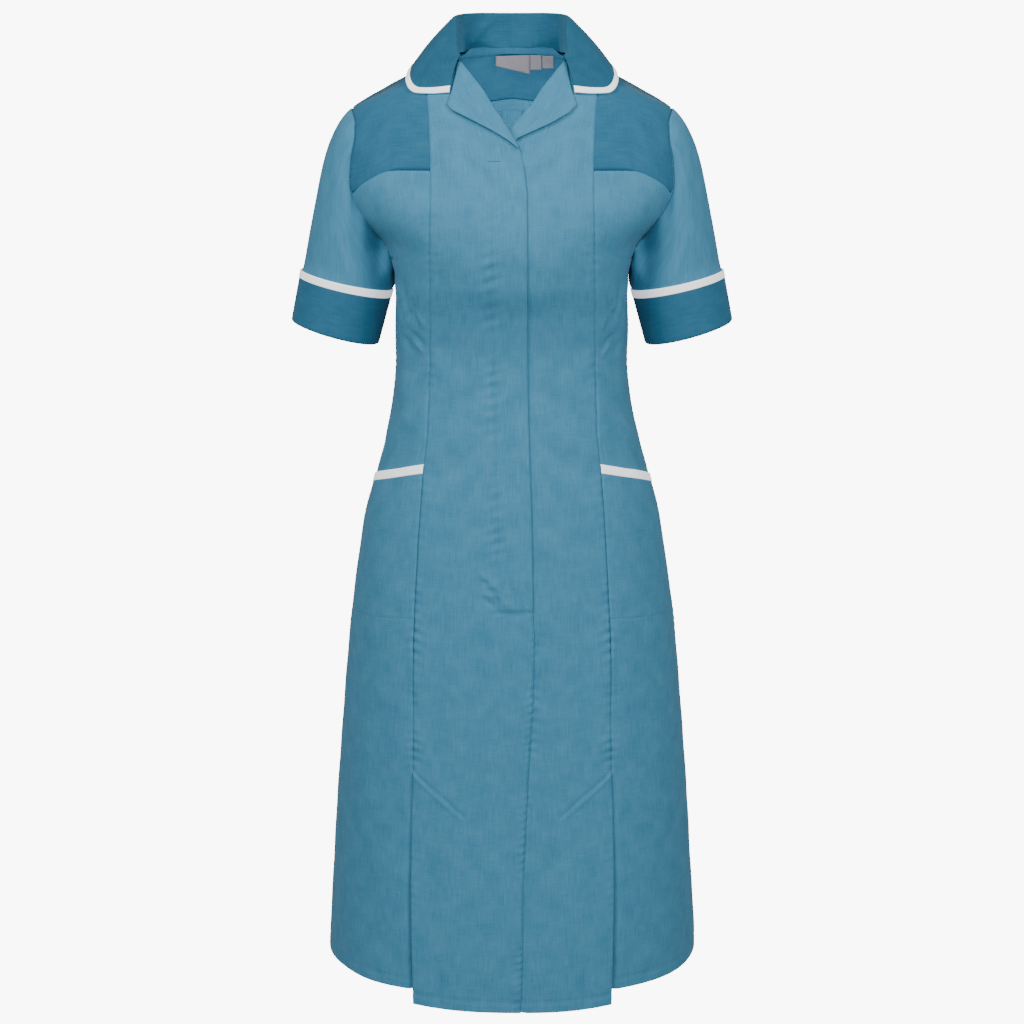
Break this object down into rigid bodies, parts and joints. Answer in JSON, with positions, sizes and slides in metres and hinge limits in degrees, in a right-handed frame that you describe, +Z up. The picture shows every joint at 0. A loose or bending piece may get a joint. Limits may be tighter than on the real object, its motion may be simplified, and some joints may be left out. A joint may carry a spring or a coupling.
{
  "type": "nurse uniform dress",
  "caption": "Knee-length nurse's tunic dress with a rever collar, short cuffed sleeves, concealed front fly, patch pockets and kick pleats, filled out as worn and hollow.",
  "frame": {"origin": "between the wearer's shoulders, at the height of the side neck points, where the shoulders hold the dress", "axes": "+Z up the body, -Y out of the front, +X towards the wearer's left"},
  "size_m": [0.493, 0.3411, 1.1012],
  "materials": {
    "hospital_blue": "matt polycotton poplin weave",
    "contrast_blue": "matt polycotton poplin weave, a shade darker, cut across the grain",
    "white_binding": "matt white binding",
    "grey_label": "woven satin label, blank"
  },
  "bodies": {
    "root": {"back_left": "hospital_blue", "back_right": "hospital_blue", "back_yoke": "contrast_blue", "collar": "contrast_blue", "collar_trim": "white_binding", "cuff_left": "contrast_blue", "cuff_right": "contrast_blue", "cuff_trim_left": "white_binding", "cuff_trim_right": "white_binding", "front_left": "hospital_blue", "front_right": "hospital_blue", "front_yoke_left": "contrast_blue", "front_yoke_right": "contrast_blue", "label": "grey_label", "neck_binding": "contrast_blue", "pleat_underlay_left": "hospital_blue", "pleat_underlay_right": "hospital_blue", "pocket_left": "hospital_blue", "pocket_right": "hospital_blue", "pocket_trim_left": "white_binding", "pocket_trim_right": "white_binding", "rever_left": "hospital_blue", "rever_right": "hospital_blue", "side_front_left": "hospital_blue", "side_front_right": "hospital_blue", "size_tab_1": "grey_label", "size_tab_2": "grey_label", "sleeve_left": "hospital_blue", "sleeve_right": "hospital_blue"}
  },
  "joints": []
}
